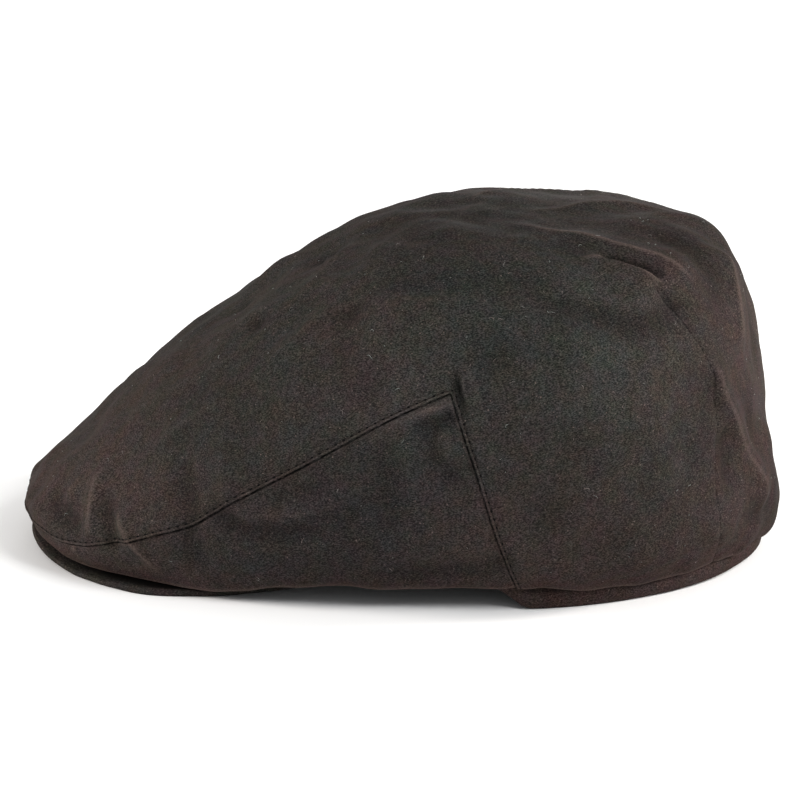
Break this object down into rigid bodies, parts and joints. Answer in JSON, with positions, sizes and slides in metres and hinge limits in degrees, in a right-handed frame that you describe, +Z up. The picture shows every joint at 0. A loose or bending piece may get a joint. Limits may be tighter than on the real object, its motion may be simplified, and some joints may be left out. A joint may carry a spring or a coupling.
{
  "type": "waxed flat cap",
  "caption": "Soft waxed-cotton flat cap with a stiff peak under its front, side panels and a band round the head opening, lying on a surface.",
  "frame": {"origin": "on the surface that the cap rests on, under the middle of its length and width", "axes": "+Z up; the peak points to -Y and the back of the head to +Y; +X is the wearer's left"},
  "size_m": [0.1886, 0.2724, 0.1221],
  "materials": {
    "waxed_cotton": "dry waxed cotton, dark brown, uneven",
    "band_cloth": "plain matt cotton, dark brown"
  },
  "bodies": {
    "root": {"top_panel": "waxed_cotton", "side_panel_left": "waxed_cotton", "side_panel_right": "waxed_cotton", "peak": "waxed_cotton", "head_band": "band_cloth"}
  },
  "joints": []
}
